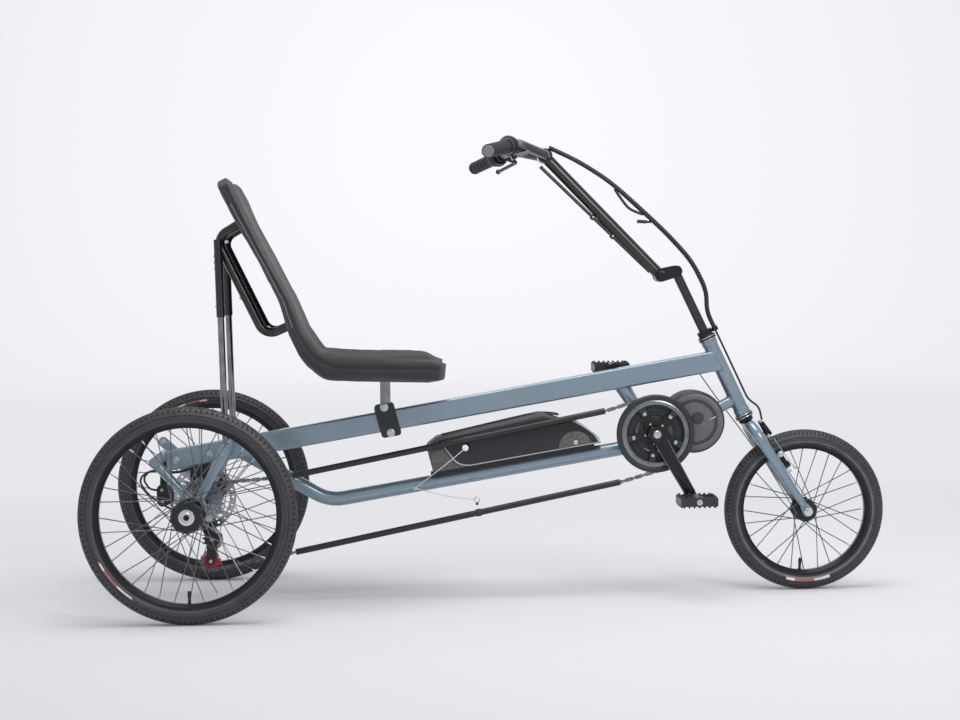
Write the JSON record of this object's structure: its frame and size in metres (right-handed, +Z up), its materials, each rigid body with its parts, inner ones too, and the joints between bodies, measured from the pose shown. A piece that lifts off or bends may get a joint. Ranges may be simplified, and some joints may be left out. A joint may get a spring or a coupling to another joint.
{
  "type": "electric-assist recumbent trike",
  "caption": "Long-wheelbase delta recumbent trike with a steered front wheel, tilting handlebar mast, padded seat, hub-height rear axle, mid-drive motor and battery.",
  "frame": {"origin": "on the ground, midway along the length and midway between the rear wheels", "axes": "+X forward, +Y to the rider's left, +Z up"},
  "size_m": [1.9119, 0.778, 1.1015],
  "materials": {
    "frame_enamel": "gloss",
    "black_steel": "satin",
    "chrome": "polished",
    "steel": "satin",
    "spoke_steel": "satin",
    "black_alloy": "satin",
    "black_plastic": "matte",
    "gloss_plastic": "gloss",
    "tyre": "matte",
    "rubber": "matte",
    "seat_fabric": "woven"
  },
  "bodies": {
    "frame": {"main_beam": "frame_enamel", "head_tube": "frame_enamel", "headset_cups": "black_steel", "lower_tube": "frame_enamel", "down_tube": "frame_enamel", "bracket_post": "frame_enamel", "bracket_shell": "frame_enamel", "rear_cross_tubes": "frame_enamel", "rear_struts_left": "frame_enamel", "rear_struts_right": "frame_enamel", "seat_back": "seat_fabric", "seat_base": "seat_fabric", "seat_pan": "black_steel", "seat_back_rails": "black_steel", "seat_stays": "chrome", "seat_post": "chrome", "seat_clamp": "black_steel", "battery_case": "gloss_plastic", "battery_rail": "black_alloy", "motor": "black_plastic", "chain": "steel", "chain_tubes": "black_plastic", "derailleur": "black_steel", "brake_caliper": "black_steel", "rear_cables": "rubber", "sensor_cable": "rubber"},
    "steering": {"fork": "frame_enamel", "front_axle": "chrome", "rim_brake": "black_steel", "quill_post": "black_steel", "mast_bracket": "black_alloy", "cable_loom": "rubber", "front_brake_cable": "rubber"},
    "mast": {"mast_tube": "black_steel", "handlebar": "black_steel", "right_controls": "rubber", "left_controls": "rubber"},
    "front_wheel": {"front_tyre": "tyre", "front_rim": "black_alloy", "front_spokes": "spoke_steel", "front_hub": "black_alloy"},
    "drive_axle": {"rear_axle": "chrome", "cassette": "steel", "brake_disc": "steel", "rear_left_tyre": "tyre", "rear_left_rim": "black_alloy", "rear_left_spokes": "spoke_steel", "rear_left_hub": "black_alloy"},
    "right_wheel": {"rear_right_tyre": "tyre", "rear_right_rim": "black_alloy", "rear_right_spokes": "spoke_steel", "rear_right_hub": "black_alloy"},
    "crank": {"chainring": "black_alloy", "chain_guard": "black_plastic", "crank_right": "black_alloy", "crank_left": "black_alloy"},
    "right_pedal": {"pedal_right": "black_plastic"},
    "left_pedal": {"pedal_left": "black_plastic"}
  },
  "joints": [
    {"name": "steer", "type": "hinge", "parent": "frame", "child": "steering", "pos_m": [0.61213, 0, 0.4342], "axis": [-0.4226, 0, 0.9063], "range_deg": [-35, 35], "deforming": ["sensor_cable"]},
    {"name": "mast_tilt", "type": "hinge", "parent": "steering", "child": "mast", "pos_m": [0.4117, 0, 0.7741], "axis": [0, 1, 0], "range_deg": [-10, 40], "deforming": ["cable_loom"]},
    {"name": "front_wheel_spin", "type": "hinge", "parent": "steering", "child": "front_wheel", "pos_m": [0.76, 0, 0.196], "axis": [0, 1, 0], "continuous": true},
    {"name": "drive_axle_spin", "type": "hinge", "parent": "frame", "child": "drive_axle", "pos_m": [-0.709, 0, 0.247], "axis": [0, 1, 0], "continuous": true},
    {"name": "right_wheel_spin", "type": "hinge", "parent": "frame", "child": "right_wheel", "pos_m": [-0.709, -0.35, 0.247], "axis": [0, 1, 0], "continuous": true},
    {"name": "crank_spin", "type": "hinge", "parent": "frame", "child": "crank", "pos_m": [0.3889, 0, 0.3926], "axis": [0, 1, 0], "continuous": true},
    {"name": "right_pedal_spin", "type": "hinge", "parent": "crank", "child": "right_pedal", "pos_m": [0.47347, -0.158, 0.23939], "axis": [0, 1, 0], "continuous": true},
    {"name": "left_pedal_spin", "type": "hinge", "parent": "crank", "child": "left_pedal", "pos_m": [0.30433, 0.158, 0.54581], "axis": [0, 1, 0], "continuous": true}
  ]
}
